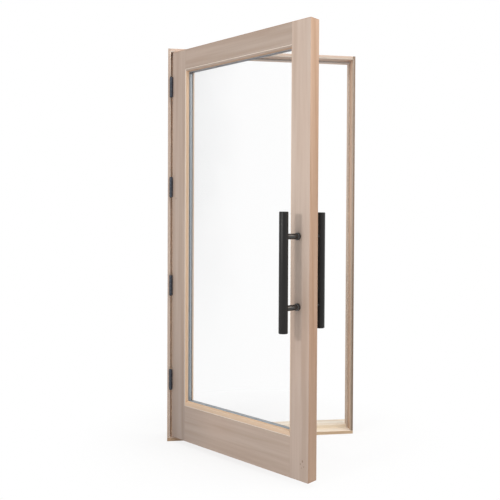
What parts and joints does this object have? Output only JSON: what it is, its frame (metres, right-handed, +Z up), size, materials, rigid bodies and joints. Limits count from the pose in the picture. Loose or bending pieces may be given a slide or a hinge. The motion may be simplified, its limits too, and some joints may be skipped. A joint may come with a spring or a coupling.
{
  "type": "sauna door",
  "caption": "Out-swing glazed wooden sauna door, standing open in its rabbeted frame with stepped sill, with butt hinges and a round bar pull on each face",
  "frame": {"origin": "middle of the outer side face of the hinge jamb, at half the frame's depth and height", "axes": "+X along the wall from the hinge side to the strike side, +Y into the room, +Z up"},
  "size_m": [0.99, 0.927, 2.032],
  "materials": {
    "frame_wood": "sanded, clear",
    "sill_wood": "sanded, clear",
    "stile_wood": "sanded, clear",
    "rail_wood": "sanded, clear",
    "bead_wood": "sanded, clear",
    "glass": "clear",
    "spacer_metal": "mill",
    "hinge_metal": "satin",
    "pull_metal": "satin",
    "seal_rubber": "matt"
  },
  "bodies": {
    "frame": {"sill": "sill_wood", "hinge_jamb": "frame_wood", "strike_jamb": "frame_wood", "head_jamb": "frame_wood", "hinge_jamb_seal": "seal_rubber", "strike_jamb_seal": "seal_rubber", "head_seal": "seal_rubber", "bottom_hinge_frame_leaf": "hinge_metal", "lower_hinge_frame_leaf": "hinge_metal", "upper_hinge_frame_leaf": "hinge_metal", "top_hinge_frame_leaf": "hinge_metal"},
    "door": {"hinge_stile": "stile_wood", "free_stile": "stile_wood", "top_rail": "rail_wood", "bottom_rail": "rail_wood", "outer_pane": "glass", "inner_pane": "glass", "spacer_bar": "spacer_metal", "outer_bead_hinge_side": "bead_wood", "outer_bead_free_side": "bead_wood", "outer_bead_top": "bead_wood", "outer_bead_bottom": "bead_wood", "inner_bead_hinge_side": "bead_wood", "inner_bead_free_side": "bead_wood", "inner_bead_top": "bead_wood", "inner_bead_bottom": "bead_wood", "bottom_hinge_door_leaf": "hinge_metal", "lower_hinge_door_leaf": "hinge_metal", "upper_hinge_door_leaf": "hinge_metal", "top_hinge_door_leaf": "hinge_metal", "outer_pull_bar": "pull_metal", "outer_pull_upper_post": "pull_metal", "outer_pull_lower_post": "pull_metal", "inner_pull_bar": "pull_metal", "inner_pull_upper_post": "pull_metal", "inner_pull_lower_post": "pull_metal"}
  },
  "joints": [
    {"name": "door_swing", "type": "hinge", "parent": "frame", "child": "door", "pos_m": [0.0165, -0.0495, 0], "axis": [0, 0, -1], "range_deg": [-52.5, 117.5]}
  ]
}
